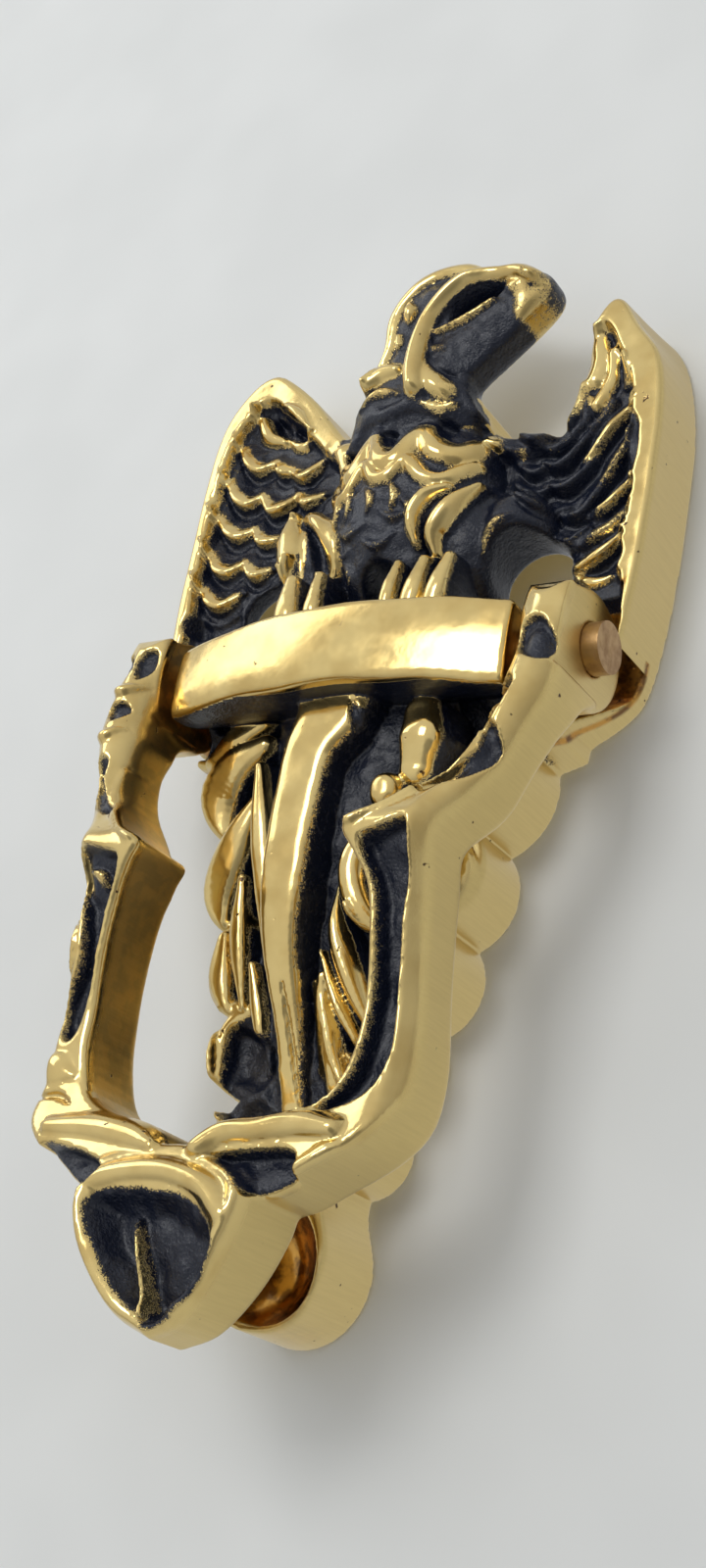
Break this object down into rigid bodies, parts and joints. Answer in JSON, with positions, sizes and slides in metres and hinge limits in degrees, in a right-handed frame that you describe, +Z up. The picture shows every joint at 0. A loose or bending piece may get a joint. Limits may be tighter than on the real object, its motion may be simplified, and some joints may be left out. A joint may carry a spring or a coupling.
{
  "type": "door knocker",
  "caption": "Cast brass eagle door knocker with a hollow-backed plate and a swinging leaf-tipped knocker on a hinge rod.",
  "frame": {"origin": "on the door face, centred across the plate and level with the hinge axis", "axes": "+X to the right seen from the front, +Y into the door, +Z up"},
  "size_m": [0.101, 0.0465, 0.2071],
  "materials": {
    "plate_brass": "polished high spots, blue-black antiquing in the recesses, satin side walls",
    "knocker_brass": "polished high spots, blue-black antiquing in the recesses, satin side walls",
    "rod_brass": "drawn rod with sawn ends, dulled"
  },
  "bodies": {
    "plate": {"backplate": "plate_brass", "hinge_rod": "rod_brass"},
    "knocker": {"knocker": "knocker_brass"}
  },
  "joints": [
    {"name": "knocker_swing", "type": "hinge", "parent": "plate", "child": "knocker", "pos_m": [0, -0.018, 0], "axis": [-1, 0, 0], "range_deg": [0, 120]}
  ]
}
